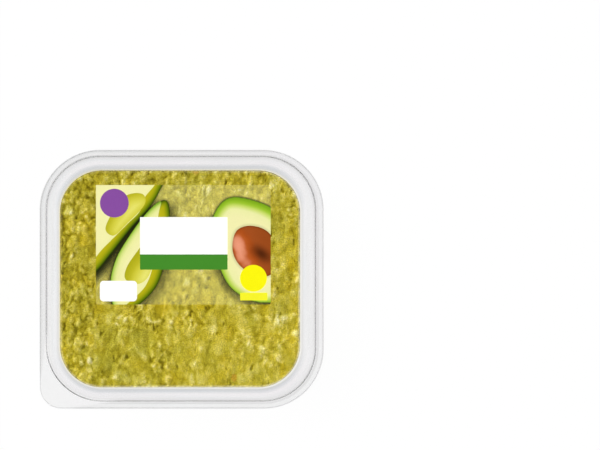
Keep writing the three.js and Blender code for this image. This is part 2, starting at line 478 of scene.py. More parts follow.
class Shader:
    """A node material with short calls for the nodes used here."""

    def __init__(self, name):
        self.material = bpy.data.materials.new(name)
        self.material.use_nodes = True
        self.tree = self.material.node_tree
        self.tree.nodes.clear()
        self.output = self.tree.nodes.new("ShaderNodeOutputMaterial")

    def node(self, kind, inputs=None, **settings):
        node = self.tree.nodes.new("ShaderNode" + kind)
        for key, value in settings.items():
            setattr(node, key, value)
        for key, value in (inputs or {}).items():
            if isinstance(value, bpy.types.NodeSocket):
                self.tree.links.new(value, node.inputs[key])
            else:
                node.inputs[key].default_value = value
        return node

    def noise(self, scale, detail, roughness=0.55):
        """Noise from 0 to 1 with the given number of waves to a metre."""
        inputs = {"Scale": scale, "Detail": detail, "Roughness": roughness}
        inputs["Vector"] = self.node("TexCoord").outputs["Object"]
        return self.node("TexNoise", inputs).outputs["Fac"]

    def spread(self, noise, low, high):
        """Maps the noise, where it mostly lies, to a range."""
        inputs = {"Value": noise, "From Min": NOISE_RANGE[0], "From Max": NOISE_RANGE[1]}
        inputs.update({"To Min": low, "To Max": high})
        return self.node("MapRange", inputs).outputs["Result"]

    def mottled(self, colour, noise, low, high):
        """Makes a colour darker and lighter by the noise."""
        mottle = self.spread(noise, low, high)
        grey = self.node("CombineColor", {0: mottle, 1: mottle, 2: mottle}).outputs["Color"]
        settings = {"data_type": "RGBA", "blend_type": "MULTIPLY"}
        return self.node("Mix", {0: 1.0, 6: colour, 7: grey}, **settings).outputs[2]

    def bump(self, height, strength, distance):
        inputs = {"Height": height, "Strength": strength, "Distance": distance}
        return self.node("Bump", inputs).outputs["Normal"]

    def finish(self, shader):
        self.tree.links.new(shader.outputs[0], self.output.inputs["Surface"])
        return self.material


def clear_plastic():
    """The tub's clear sheet. Lamps shine through it, so what it holds is lit."""
    s = Shader("clear_tub_plastic")
    tint = s.node("VertexColor", layer_name="tint").outputs["Color"]
    bump = s.bump(s.noise(260, detail=2.0), strength=0.03, distance=0.0002)
    plastic = s.node("BsdfPrincipled", {
        "Base Color": tint,
        "Roughness": s.spread(s.noise(900, detail=3.0), 0.02, 0.07),
        "IOR": 1.5,
        "Transmission Weight": 1.0,
        "Normal": bump,
    })
    through = s.node("BsdfTransparent", {"Color": (0.93, 0.94, 0.945, 1)})
    ray = s.node("LightPath").outputs["Is Shadow Ray"]
    both = s.node("MixShader", {0: ray, 1: plastic.outputs[0], 2: through.outputs[0]})
    return s.finish(both)


def clear_film():
    """The thin lid film: it bends no light, and gleams more at a slant."""
    s = Shader("clear_lid_film")
    bump = s.bump(s.noise(120, detail=3.0), strength=0.05, distance=0.0004)
    through = s.node("BsdfTransparent", {"Color": (1, 1, 1, 1)})
    gloss = s.node("BsdfGlossy", {"Color": (1, 1, 1, 1), "Roughness": 0.05, "Normal": bump})
    fresnel = s.node("Fresnel", {"IOR": 1.45, "Normal": bump}).outputs["Fac"]
    behind = s.node("NewGeometry").outputs["Backfacing"]
    share = s.node("Math", {0: 1.0, 1: behind}, operation="SUBTRACT").outputs[0]
    share = s.node("Math", {0: fresnel, 1: share}, operation="MULTIPLY").outputs[0]
    both = s.node("MixShader", {0: share, 1: through.outputs[0], 2: gloss.outputs[0]})
    return s.finish(both)


def mashed_avocado():
    """Moist mashed avocado: each point's own tint, finer mottling and a wet, uneven gloss."""
    s = Shader("mashed_avocado")
    tint = s.node("VertexColor", layer_name="tint").outputs["Color"]
    grain = s.noise(2600, detail=5.0, roughness=0.6)
    pulp = s.node("BsdfPrincipled", {
        "Base Color": s.mottled(tint, s.noise(2300, detail=5.0, roughness=0.65), 0.47, 1.52),
        "Roughness": s.spread(s.noise(700, detail=3.0), 0.38, 0.65),
        "IOR": 1.4,
        "Subsurface Weight": 0.25,
        "Subsurface Radius": (1.0, 0.8, 0.25),
        "Subsurface Scale": 0.0012,
        "Normal": s.bump(grain, strength=0.8, distance=0.0002),
    })
    return s.finish(pulp)


def printed(name, solid=True):
    """Ink on plastic: each point's own tint, faintly mottled, and a satin gloss.

    Where the print isn't solid, what lies under it shows through by each point's opacity.
    """
    s = Shader(name)
    tint = s.node("VertexColor", layer_name="tint")
    ink = s.node("BsdfPrincipled", {
        "Base Color": s.mottled(tint.outputs["Color"], s.noise(3000, detail=4.0), 0.97, 1.03),
        "Roughness": s.spread(s.noise(500, detail=3.0), 0.3, 0.4),
        "IOR": 1.45,
        "Normal": s.bump(s.noise(150, detail=3.0), strength=0.08, distance=0.0003),
    })
    if solid:
        return s.finish(ink)
    through = s.node("BsdfTransparent")
    layers = {0: tint.outputs["Alpha"], 1: through.outputs[0], 2: ink.outputs[0]}
    return s.finish(s.node("MixShader", layers))


def pale_floor():
    s = Shader("pale_floor")
    floor = s.node("BsdfPrincipled", {
        "Base Color": (0.02, 0.02, 0.02, 1),
        "Roughness": 0.9,
        "Specular IOR Level": 0.0,
        "Emission Color": (1, 1, 1, 1),
        "Emission Strength": 0.98,
    })
    return s.finish(floor)


# ---- The tub ----


# Beyond the plastic's faint tint, the cream and darker bands at the mouth, the step and the lip are
# painted reflections and painted shade
TINT_AND_SHADE_STOPS = (  # way out from the mouth, tint along the longer sides, tint along the shorter
    (-4.0, (0.97, 0.975, 0.98), (0.97, 0.975, 0.98)),
    (-1.0, (0.90, 0.87, 0.68), (0.92, 0.90, 0.74)),
    (0.1, (0.84, 0.80, 0.60), (0.90, 0.86, 0.70)),
    (0.6, (0.80, 0.79, 0.72), (0.92, 0.90, 0.82)),
    (1.0, (0.74, 0.75, 0.76), (0.88, 0.88, 0.87)),
    (1.6, (0.74, 0.75, 0.77), (0.96, 0.96, 0.96)),
    (2.2, (0.82, 0.83, 0.84), (0.98, 0.98, 0.985)),
    (2.8, (0.97, 0.95, 0.96), (0.965, 0.965, 0.965)),
    (4.2, (0.95, 0.94, 0.95), (0.97, 0.97, 0.97)),
    (5.2, (0.89, 0.89, 0.89), (0.965, 0.965, 0.965)),
    (6.0, (0.80, 0.80, 0.80), (0.82, 0.82, 0.82)),
    (6.9, (0.95, 0.95, 0.95), (0.96, 0.96, 0.96)),
    (8.3, (0.97, 0.97, 0.97), (0.98, 0.98, 0.98)),
    (8.9, (0.94, 0.94, 0.94), (0.94, 0.94, 0.94)),
    (9.5, (0.88, 0.88, 0.88), (0.88, 0.88, 0.88)),
)
LIP_SHADE = (  # way out from the mouth, and how much painted shade darkens the step and lip at the far left
    (5.7, 0.02), (6.1, 0.16), (6.5, 0.16), (6.9, 0.02),
    (7.8, 0.06), (8.4, 0.10), (8.9, 0.16), (9.4, 0.03),
)
FAINT_LINE = (7.2, 0.14)  # a faint painted shade line round the lip at the near right: way out, and how dark
FAINT_LINE_REACH = 0.2
MOUTH_EDGE = (-4, 0.6)  # the ways out between which painted light makes the sheet clearer on the lee side
MOUTH_LEE_LIGHT = 0.7
TAB_START = LAND_WIDTH - 0.6  # the way out from which the peel corner is clear
TAB_WIDTHS = (4.5, 8.0)  # the lip's width where it starts to clear, and where it is clear
LEE_SPAN = (-0.6, 0.6)
STREAKS = {"sizes": (16, 0.9), "seed": 301, "octaves": 3}
STREAK_DEPTH = 0.03
BLUSH = {"sizes": (25, 1.6), "seed": 311, "octaves": 2}
BLUSH_DEPTHS = (0.012, 0.015)  # in red and in blue
TAB = smooth_step(*TAB_WIDTHS, distance_to(LAND_EDGE.ring(0)[:, :2], CUT_EDGE.ring(0)[:, :2]))


def lee_side(x, y):
    """From 0 at the far left, where the light comes from, to 1 at the near right."""
    return smooth_step(*LEE_SPAN, (x / MOUTH.half_x - y / MOUTH.half_y) / 2)


def tub_tint_and_shade(out, ring):
    """How the clear sheet tints what is seen through it, with painted reflections and painted shade
    in bands at the mouth, the step and the lip, and faint streaks round the tub.

    Painted shade makes the step and the lip darker at the far left, and a faint painted shade line
    runs round the lip at the near right. Where the lip is wide, at the peel corner, it is flat and
    as clear as can be. Painted light makes the mouth's edge clearest on the lee side, where light
    comes through it from behind.
    """
    along = np.roll(ring, -1, axis=0) - np.roll(ring, 1, axis=0)
    length = np.linalg.norm(along, axis=1)
    lengthwise = (abs(along[:, 0]) / length)[:, None]
    # the plastic's faint tint, with painted reflections and painted shade in bands
    sides = [graded(out, [(row[0], row[side]) for row in TINT_AND_SHADE_STOPS]) for side in (1, 2)]
    colour = sides[0] * lengthwise + sides[1] * (1 - lengthwise)
    lee = lee_side(ring[:, 0], ring[:, 1])[:, None]
    if MOUTH_EDGE[0] < out < MOUTH_EDGE[1]:
        # painted light on the lee side of the mouth's edge
        colour += MOUTH_LEE_LIGHT * lee * (1 - colour)
    # painted shade on the step and lip at the far left
    colour *= 1 - np.interp(out, *zip(*LIP_SHADE)) * (1 - lee)
    # a faint painted shade line round the lip at the near right
    if abs(out - FAINT_LINE[0]) < FAINT_LINE_REACH:
        colour *= 1 - FAINT_LINE[1] * lee
    if out > TAB_START:
        colour += TAB[:, None] * (1 - colour)

    run = way_round(ring)
    level = np.full_like(run, out)
    uneven = 1 + STREAK_DEPTH * drawn_out(run, level, **STREAKS)
    blush = drawn_out(run, level, **BLUSH)
    red, blue = uneven + BLUSH_DEPTHS[0] * blush, uneven + BLUSH_DEPTHS[1] * abs(blush)
    return np.clip(colour * np.stack([red, uneven, blue], axis=1), 0, 1)


def make_tray():
    middle = refined(tub_section(), TUB_GRAIN)
    skins = np.vstack([shifted(middle, -SHEET / 2), shifted(middle, SHEET / 2)[::-1]])
    shape = Shape()
    rings = []
    for out, z in skins:
        ring = tub_outline(out).ring(z)
        rings.append(shape.add(ring, tub_tint_and_shade(out, ring)))
    for first, second in zip(rings, rings[1:]):
        shape.bridge(first, second)
    clear = TINT_AND_SHADE_STOPS[0][1]
    shape.cap(rings[0], (*MIDDLE, skins[0][1]), False, clear)
    shape.cap(rings[-1], (*MIDDLE, skins[-1][1]), True, clear)
    return shape.build("tub", clear_plastic(), "tray")


# ---- The guacamole ----

PULP_STOPS = colour_stops(
    (0, 100, 88, 6), (0.25, 153, 140, 25), (0.5, 188, 174, 51), (0.75, 214, 201, 91),
    (1, 240, 230, 156),
)
TOMATO = srgb(206, 138, 48)
TOMATO_STRENGTH = 0.4
# The colour of the painted light where the mash meets the wall
RIM_LIGHT_COLOUR = srgb(248, 240, 198)

# Random patterns: each one's depth, the size of its largest waves, its seed and its octaves
FINE_WARP = ((0.6, 2.8, 101, 4), (0.6, 2.8, 131, 4))  # how the mash is dragged along x and y
BROAD_WARP = ((0.9, 11.0, 107, 2), (1.3, 11.0, 137, 2))
CRUMBS = (1.0, 8.5, 264, 3)
PATCHES = (0.08, 24.0, 1598, 3)
FINE_HUE = (1.2, 6.0, 211, 3)
BROAD_HUE = (0.7, 26.0, 881, 2)
FIBRE_PATCHES = (1.0, 9.0, 251, 2)
GLOW_PATCHES = (0.4, 3.0, 261, 2)
WALL_PATCHES = (0.12, 16.0, 227, 3)
WALL_GRAIN = (0.12, 1.2, 221, 3)

# Values that change evenly: the value in the middle, and its change for each mm along x and y
CRUMB_LEAN = (0.03, -0.003, 0.006)  # coarser at the far left than at the near right
TONE_LEAN = (0.505, 0.0003, -0.0002)

# What each layer of lumps adds to the tone, and what is left of it where the mash is smooth
LUMP_TONES = (0.2, 0.2)
FINE_TONES = (0.2, 0.22)
# Painted highlight on the fine lumps' tops, with painted shade round their feet
FINE_TOP_HIGHLIGHT = 0.1
FINE_TOP = (0.35, 0.8)  # the heights between which a fine lump's painted highlight on its top starts
GRAIN_TONE = 0.2
SMOOTH_LUMPS = 0.65
SMOOTH_FINE = (0.2, 0.4)  # of the height and of the tone
SMOOTH_GRAINS = (0.4, 0.5)
CRUMB_SPAN = (-0.3, 0.3)

# The film drags the mash into strands. Each field's depth is given for the height and the tone.
STRANDS = {"sizes": (1.2, 3.0), "seed": 191, "octaves": 4}
STRAND_DEPTHS = (0.06, 0.09)
SLITS = {"sizes": (1.5, 3.8), "seed": 199, "octaves": 3}
SLIT_EDGE = (0.5, 0.85)
# The slits' darker tone is painted shade in the cracks.
SLIT_DEPTHS = (-0.35, -0.22)
RIDGES = {"sizes": (4.5, 11.0), "seed": 241, "octaves": 2}
FIBRE_EDGE = (0.92, 0.98)
FIBRE_PATCH_EDGE = (0.25, 0.6)
FIBRE_DEPTHS = (0.1, 0.18)

# Painted shade in the hollows and painted light on the lumps: how much paler a lump is than a
# hollow, within how many cells each way, up to what height
HOLLOW_SHADE_TONES = ((0.42, 3, 0.35), (0.14, 12, 0.6))

# Scraps of onion, unmashed avocado and tomato, told apart by each scrap's random number
SCRAP_EDGE = (0.62, 0.8)
TOMATO_NUMBERS = 0.012
YELLOW_NUMBERS = (0.5, 0.6, 0.7)
PALE_NUMBERS = (0.8, 0.9)
PALE_TONE = 0.26
HUE_SHIFT = np.array([0.03, -0.015, -0.3])  # what a yellower hue does to red, green and blue

# Painted light: the walls' pulp is a little paler than the top's, where less light falls on them
WALL_TONE = 0.53
WALL_LUMP_TONES = (0.18, 0.24)
# Painted light on the tops of the walls' lumps and painted shade round them, which the smooth wall
# hasn't in its mesh
WALL_LUMP_SHADE_TONE = 0.3
WALL_GLOW = (4.0, 1.5)  # the depths below the land between which the painted light of the rim fades in
FLOOR_TONE = 0.44
# Painted light where the mash meets the wall
RIM_GLOW_WIDTH = 0.52
RIM_GLOW_MEAN = 0.8
RIM_GLOW_LEAST = 0.15  # what is left of it on the side away from the lee
BRIM_INSET = 0.17  # the mash's edge lies within the sheet, where that turns over at the mouth
BRIM_LEAN = (0.12, -0.15)
BRIM = Outline(*(MOUTH.offset(-BRIM_INSET).values + [*BRIM_LEAN, 0, 0, 0, 0]))


def leaning(x, y, middle, along_x, along_y):
    """A value that changes evenly over the mash."""
    return middle + along_x * x + along_y * y


def pulp(tone):
    """The pulp's colour for a tone from 0, deep, to 1, pale."""
    return graded(np.clip(tone, 0, 1), PULP_STOPS)


def blurred(field, cells):
    """A field on the grid, averaged over a square of the given half width, twice."""
    for axis in (0, 1, 0, 1):
        width, size = 2 * cells + 1, field.shape[axis]
        margins = [(cells + 1, cells) if side == axis else (0, 0) for side in (0, 1)]
        total = np.cumsum(np.pad(field, margins, "edge"), axis)
        high = total.take(range(width, width + size), axis)
        field = (high - total.take(range(size), axis)) / width
    return field


def rim_glow(x, y):
    """Painted light where the mash meets the wall: how much paler it is, most at the right and near
    sides.
    """
    side_x = BRIM.half_x - abs(x - BRIM.x)
    side_y = BRIM.half_y - abs(y - BRIM.y)
    past_x, past_y = np.maximum(BRIM.radius - side_x, 0), np.maximum(BRIM.radius - side_y, 0)
    inward = np.minimum(np.minimum(side_x, side_y), BRIM.radius - np.hypot(past_x, past_y))
    near = np.exp(-((np.maximum(inward, 0) / RIM_GLOW_WIDTH) ** 2))
    patchy = RIM_GLOW_MEAN + pattern(x, y, *GLOW_PATCHES)
    return np.clip(near * patchy * rising(RIM_GLOW_LEAST, lee_side(x, y)), 0, 1)


def mash_surface(x, y):
    """The height of the guacamole over each point, and its colour."""
    warp_x = x + pattern(x, y, *FINE_WARP[0]) + pattern(x, y, *BROAD_WARP[0])
    warp_y = y + pattern(x, y, *FINE_WARP[1]) + pattern(x, y, *BROAD_WARP[1])
    crumbly = pattern(x, y, *CRUMBS) + leaning(x, y, *CRUMB_LEAN)
    crumbly = smooth_step(*CRUMB_SPAN, crumbly)

    height = np.full_like(x, MASH_FLOOR - MASH_SINK)
    tone = leaning(x, y, *TONE_LEAN) + pattern(x, y, *PATCHES)
    for share, layer in zip(LUMP_TONES, LUMPS):
        lump, number = lump_layer(warp_x, warp_y, blending=LUMP_BLENDING, **layer)
        height += rising(SMOOTH_LUMPS, crumbly) * lump
        tone += share * (number - 0.5)
    for share, layer in zip(FINE_TONES, FINE_LUMPS):
        lump, number = lump_layer(warp_x, warp_y, **layer)
        top = smooth_step(*FINE_TOP, lump / layer["height"])
        height += rising(SMOOTH_FINE[0], crumbly) * (lump - layer["height"] / 2)
        tone += rising(SMOOTH_FINE[1], crumbly) * share * (number - 0.5)
        # a painted highlight on each crumbly lump's top, and painted shade round its foot
        tone += crumbly * FINE_TOP_HIGHLIGHT * (top - 0.5)
    lump, number = lump_layer(warp_x, warp_y, **GRAINS)
    height += rising(SMOOTH_GRAINS[0], crumbly) * (lump - GRAINS["height"] / 2)
    tone += rising(SMOOTH_GRAINS[1], crumbly) * GRAIN_TONE * (number - 0.5)

    # Strands, with slits darkened by painted shade and pale fibres between them
    strand = drawn_out(warp_x, warp_y, **STRANDS)
    slit = smooth_step(*SLIT_EDGE, drawn_out(warp_x, warp_y, **SLITS))
    ridge = 1 - abs(drawn_out(warp_x, warp_y, **RIDGES))
    patch = smooth_step(*FIBRE_PATCH_EDGE, pattern(x, y, *FIBRE_PATCHES))
    fibre = smooth_step(*FIBRE_EDGE, ridge) * patch
    drawn = ((strand, STRAND_DEPTHS), (slit, SLIT_DEPTHS), (fibre, FIBRE_DEPTHS))
    for field, (rise, paler) in drawn:
        height += rise * field
        tone += paler * field

    pressed = MASH_CEILING - MASH_PRESS
    over = height - pressed
    height = np.where(over > 0, pressed + MASH_PRESS * np.tanh(over / MASH_PRESS), height)
    # painted shade darkens the hollows and painted light pales the lumps
    for depth, cells, most in HOLLOW_SHADE_TONES:
        tone += depth * np.clip(height - blurred(height, cells), -most, most)

    # Scraps of onion and unmashed avocado show paler, and a few of tomato redder.
    scrap, number = lump_layer(warp_x, warp_y, **SCRAPS)
    scrap = smooth_step(*SCRAP_EDGE, scrap)
    tomato = TOMATO_STRENGTH * scrap * (number < TOMATO_NUMBERS)
    low, middle, high = YELLOW_NUMBERS
    yellow = smooth_step(low, middle, number) * smooth_step(high, middle, number)
    tone += PALE_TONE * scrap * smooth_step(*PALE_NUMBERS, number)
    hue = pattern(warp_x, warp_y, *FINE_HUE) + pattern(x, y, *BROAD_HUE) + yellow
    colour = pulp(tone) * (1 + HUE_SHIFT * hue[..., None])
    colour += tomato[..., None] * (TOMATO - colour)
    # painted light where the mash meets the wall
    colour += rim_glow(x, y)[..., None] * (RIM_LIGHT_COLOUR - colour)
    return height, np.clip(colour, 0, 1)


def make_guacamole():
    shape = Shape()
    u, v = square_grid(MASH_COLUMNS, MASH_ROWS)
    x, y = BRIM.place(u, v)
    height, colour = mash_surface(x, y)
    points = np.stack([x, y, height], axis=-1)
    numbers = shape.add(points.reshape(-1, 3), colour.reshape(-1, 3)).reshape(x.shape)
    shape.grid(numbers)

    # The sides and the bottom lie against the tub.
    edge = border(numbers)
    edge_u, edge_v = border(u)[::2], border(v)[::2]
    run = way_round(np.column_stack([border(x), border(y)])[::2])
    lining = shifted(tub_section(), SHEET / 2 - MASH_BITE)
    wall = lining[1 : 2 + FILLET_STEPS + 1]
    heights = np.linspace(wall[-2][1], wall[-1][1], WALL_ROWS + 1)[1:]
    outs = np.interp(heights, wall[-2:, 1], wall[-2:, 0])
    levels = np.vstack([wall[:-1], np.stack([outs, heights], axis=1)])
    rings = []
    for out, z in levels:
        ring_x, ring_y = tub_outline(out).place(edge_u, edge_v)
        level = np.full_like(run, z)
        tone = WALL_TONE + pattern(run, level, *WALL_PATCHES)
        for share, layer in zip(WALL_LUMP_TONES, FINE_LUMPS):
            lump, number = lump_layer(run, level, **layer)
            # the lumps' own tones, with painted light on their tops and painted shade round them
            tone += share * (number - 0.5) + WALL_LUMP_SHADE_TONE * (lump / layer["height"] - 0.5)
        tone += pattern(run, level, *WALL_GRAIN)
        # painted light of the rim, fading in towards the top of the wall
        glow = smooth_step(*WALL_GLOW, TUB_HEIGHT - z) * rim_glow(ring_x, ring_y)
        colour = pulp(tone)
        colour += glow[:, None] * (RIM_LIGHT_COLOUR - colour)
        ring = np.stack([ring_x, ring_y, level], axis=-1)
        rings.append(shape.add(ring, colour))
    for first, second in zip(rings, rings[1:]):
        shape.bridge(first, second)
    shape.bridge_to_finer(rings[-1], edge)
    shape.cap(rings[0], (*MIDDLE, levels[0][1]), False, pulp(FLOOR_TONE))
    return shape.build("guacamole_mash", mashed_avocado(), "guacamole", crease=edge)


# ---- The film ----


def make_film():
    shape = Shape()
    x, y = CUT_EDGE.place(*square_grid(FILM_COLUMNS, FILM_ROWS))
    upper, lower = (
        shape.add(np.stack([x, y, np.full_like(x, z)], axis=-1)).reshape(x.shape)
        for z in (FILM_HIGH[2], FILM_LOW[2] + SEAM)
    )
    shape.grid(upper)
    shape.grid(lower[::-1])
    shape.bridge(border(lower), border(upper))
    return shape.build("lid_film", clear_film(), "film_lid", smooth=False)


# ---- The printed label ----


SHEET_THICKNESS = 0.06
INK_THICKNESS = 0.014
INK_STEP = 0.0175  # from one layer of print to the next
LABEL_GAP = 0.01  # between the film and the sheet, and between the sheet and the ink
SHEET_CORNER = 0.8
PRINT_GRAIN = 0.5  # distance between the points of a shaded field
PRINT_MARGIN = 0.3  # how far a shaded field's inner points keep off its edge, in grains
INSIDE = 1  # asks for only the faces inside the outline
WELD = 1e-6  # points closer than this become one
PRINT_PATCHES = {"depth": 0.015, "size": 3.0, "octaves": 3}
PRINT_SEED = 401
PLAIN_LAYER = 7  # over the fruit, whose prints take up the layers from 1 to 6
WASH = 0.13  # how milky each face of the unprinted sheet is
MILK = srgb(242, 236, 148)
SHADOW = srgb(20, 26, 6)


def smooth_curve(points, steps=8):
    """A closed curve that runs smoothly through the given points."""
    points = np.array(points, float)
    before, after, beyond = (np.roll(points, by, axis=0) for by in (1, -1, -2))
    t = np.linspace(0, 1, steps, endpoint=False)[:, None, None]
    curve = 2 * points + (after - before) * t
    curve = curve + (2 * before - 5 * points + 4 * after - beyond) * t**2
    curve = curve + (3 * points - before - 3 * after + beyond) * t**3
    return curve.transpose(1, 0, 2).reshape(-1, 2) / 2


def disc(centre, radius, steps=64):
    angles = np.linspace(0, 2 * math.pi, steps, endpoint=False)
    return np.array(centre) + radius * np.stack([np.cos(angles), np.sin(angles)], axis=1)


def rectangle(left, bottom, right, top, radius=0.3):
    middle = ((left + right) / 2, (bottom + top) / 2)
    outline = Outline(*middle, (right - left) / 2, (top - bottom) / 2, radius)
    return outline.ring(0, corner_steps=6, side_steps=1)[:, :2]


def clipped(outline, low, high):
    """The part of a closed outline that lies inside a rectangle."""
    for axis, sign, limit in ((0, 1, high[0]), (0, -1, -low[0]), (1, 1, high[1]), (1, -1, -low[1])):
        kept = []
        for here, following in zip(outline, np.roll(outline, -1, axis=0)):
            over, next_over = sign * here[axis] - limit, sign * following[axis] - limit
            if over <= 0:
                kept.append(here)
            if (over <= 0) != (next_over <= 0):
                kept.append(here + (following - here) * over / (over - next_over))
        outline = np.array(kept)
    return outline


def plate(name, outline, bottom, top, colour, material, node=None, grain=PRINT_GRAIN):
    """A thin closed plate whose points take their colours from a function of x and y."""
    outline = refined(np.vstack([outline, outline[:1]]), grain)[:-1]
    low, high = outline.min(axis=0), outline.max(axis=0)
    columns = np.arange(low[0] + grain / 2, high[0], grain)
    rows = np.arange(low[1] + grain / 2, high[1], grain)
    inner = np.stack([axis.ravel() for axis in np.meshgrid(columns, rows)], axis=1)
    inner = inner[distance_to(outline, inner) < -PRINT_MARGIN * grain]
    points = [Vector(point) for point in np.vstack([outline, inner])]
    edges = [(i, (i + 1) % len(outline)) for i in range(len(outline))]
    points, _, faces, *_ = delaunay_2d_cdt(points, edges, [], INSIDE, WELD)
    flat = np.array([tuple(point) for point in points])
    tints = colour(flat)
    shape = Shape()
    upper, lower = (
        shape.add(np.column_stack([flat, np.full(len(flat), z)]), tints) for z in (top, bottom)
    )
    sides = set()
    for face in faces:
        shape.faces.append([upper[i] for i in face])
        shape.faces.append([lower[i] for i in reversed(face)])
        sides.update(zip(face, [*face[1:], face[0]]))
    for start, end in sides:
        if (end, start) not in sides:
            shape.faces.append([lower[start], lower[end], upper[end], upper[start]])
    piece = shape.build(name, material, node, False)
    piece.visible_shadow = False  # the real print lies on the mash, so no shadow shows past it
    return piece


def print_field(ink, name, outline, layer, colour):
    """Prints one field, cut off at the label's edge, on the given layer of ink."""
    bottom = LABEL_LOW[2] + SHEET_THICKNESS + LABEL_GAP + (layer - 1) * INK_STEP

    def shaded(points):
        uneven = 1 + pattern(*points.T, seed=PRINT_SEED + layer, **PRINT_PATCHES)
        return np.clip(colour(points) * uneven[:, None], 0, 1)

    outline = clipped(outline, LABEL_LOW, LABEL_HIGH)
    plate("label_" + name, outline, bottom, bottom + INK_THICKNESS, shaded, ink)


def evenly(*colour):
    """A function that gives each point the same colour."""
    return lambda points: np.tile(srgb(*colour), (len(points), 1))


def inwards(outline, stops):
    """A function that colours points by how far they lie within an outline."""
    return lambda points: graded(-distance_to(outline, points), stops)


# Each plain field's outline, and its colour
PLAIN_FIELDS = {
    "panel": (rectangle(-17.8, 10.7, 19.7, 26.7), evenly(253, 253, 252)),
    "band": (rectangle(-17.8, 4.2, 19.7, 10.7), evenly(68, 138, 43)),
    "badge": (rectangle(-35.0, -9.4, -19.1, -0.6, 1.6), evenly(253, 253, 252)),
    "disc_purple": (disc((-28.8, 32.7), 6.15), evenly(133, 77, 157)),
    "tag": (rectangle(25.1, -9.0, 36.8, -5.7), evenly(243, 240, 44)),
    "disc_yellow": (disc((30.8, 0.5), 5.75), evenly(248, 242, 14)),
}

# The fruit on the label. A wedge shows its skin, its flesh and the hollow where the pit was.
WEDGE_A = {
    "body": [(-40, 46), (-24, 46), (-9, 43), (-9.6, 37.5), (-14, 30.6), (-21.6, 22), (-30, 11.3),
             (-37, 3), (-46, -4), (-50, 20)],
    "flesh": [(-42, 47), (-25, 47), (-11.5, 42.5), (-15.5, 35.5), (-18, 29), (-24, 23), (-33, 14),
              (-42, 6), (-50, 20)],
    "hollow": [(-16, 36), (-16.2, 31.5), (-23.6, 23.7), (-29, 18.8), (-32.6, 21.5), (-30, 28),
               (-25, 35), (-20, 37)],
}
WEDGE_B = {
    "body": [(-7.4, 34), (-5, 29), (-5.6, 16), (-9, 1), (-14, -7), (-22, -13), (-28.6, -13),
             (-30.8, -3), (-28.6, 8), (-23, 18), (-15, 28.6)],
    "flesh": [(-9, 33.4), (-10, 27), (-12, 8), (-15, -2), (-21, -8.4), (-28, -13), (-30.5, -3),
              (-28.3, 8), (-22.7, 18), (-14.7, 28.8)],
    "hollow": [(-13, 19), (-19, 12), (-23.6, 5), (-24, 0), (-19, -2), (-14.4, 1), (-12, 9)],
}
HALF = [(12, 19), (14.2, 29), (20, 35), (29, 34.6), (40, 30), (49, 20), (49.5, 4), (42, -8.4),
        (32, -9.8), (22, -4.6), (16.6, 4)]
PIT = [(21.8, 13), (23.4, 20.6), (29.4, 23), (37, 20.4), (41.4, 12), (38.6, 2.4), (31.4, 1.8),
       (24.6, 6.4)]

SKIN_STOPS = colour_stops(
    (0, 30, 46, 2), (0.5, 80, 106, 6), (1.4, 132, 144, 10), (2.6, 176, 170, 18), (5, 192, 181, 28),
    (9, 200, 190, 46),
)
WEDGE_FLESH_STOPS = colour_stops(
    (0, 104, 150, 30), (0.5, 150, 190, 60), (1.3, 202, 218, 116), (2.6, 230, 232, 154),
    (5, 238, 235, 168),
)
HOLLOW_STOPS = colour_stops(
    (-3, 172, 168, 24), (-0.6, 186, 180, 36), (1, 204, 198, 58), (3, 218, 213, 84),
    (5.5, 232, 228, 120),
)
HALF_STOPS = colour_stops(
    (0, 126, 170, 28), (1.6, 156, 195, 46), (2.8, 200, 217, 104), (4.4, 233, 234, 165),
    (8, 239, 235, 172),
)
HALF_LEAN = (-0.5, -1.0)
HALF_RIND = srgb(58, 60, 36)
RIND_SPAN = (-0.6, -0.1)  # from the half's outline, where the rind fades in
PIT_SHADE = (1.4, 0.25)  # how far the stone shades the flesh round it, and how darkly
PIT_EDGE = (-1.0, 0.3)  # how far within the stone its edge darkens, and how much
PIT_PATCHES = (3.0, 5.0, 431, 4)
PIT_STOPS = colour_stops(
    (0, 232, 152, 120), (2.5, 218, 134, 98), (5, 182, 88, 36), (8, 168, 76, 24), (11, 158, 76, 30),
    (19, 150, 72, 26),
)
PIT_GLEAM = (25.0, 11.7)
PIT_GLEAM_TURN = math.radians(17)  # the gleam is long, and its upper end leans to the left
PIT_GLEAM_FADE = (1.5, 0.55)  # how fast it fades across and along
PIT_DIMPLE = (34.2, 11.0)
PIT_DIMPLE_TURN = math.radians(-37)  # the dimple is long, and its right end is lower
PIT_DIMPLE_SIZE = (8.0, 4.5)
PIT_DIMPLE_SHADE = 0.75
SHADOW_FADE = 8.0  # a shadow grows to its full depth over this much below its top
CONTACT_SHADE = (0.9, 0.35)  # how far a thin shade runs round each fruit, and how dark it is
WEDGE_A_SHADOW = {"lean": (-0.5, -0.7), "reach": 5.4, "depth": 0.9, "top": 36}
WEDGE_B_SHADOW = {"lean": (0.7, -0.7), "reach": 4.6, "depth": 0.44, "top": 36}
HALF_SHADOW = {"lean": (-0.5, -0.7), "reach": 3.2, "depth": 0.45, "top": 30}
HOLLOW_LEAN_A = (1.3, -0.9)
HOLLOW_LEAN_B = (2.6, -2.6)


def make_wedge(ink, name, wedge, layer, hollow_lean):
    """Prints a wedge, whose hollow's shading leans away from its shaded rim."""
    body, flesh, hollow = (smooth_curve(wedge[part]) for part in ("body", "flesh", "hollow"))
    scoop = inwards(hollow + hollow_lean, HOLLOW_STOPS)
    print_field(ink, name + "_skin", body, layer, inwards(body, SKIN_STOPS))
    print_field(ink, name + "_flesh", flesh, layer + 1, inwards(body, WEDGE_FLESH_STOPS))
    print_field(ink, name + "_hollow", hollow, layer + 2, scoop)
    return body


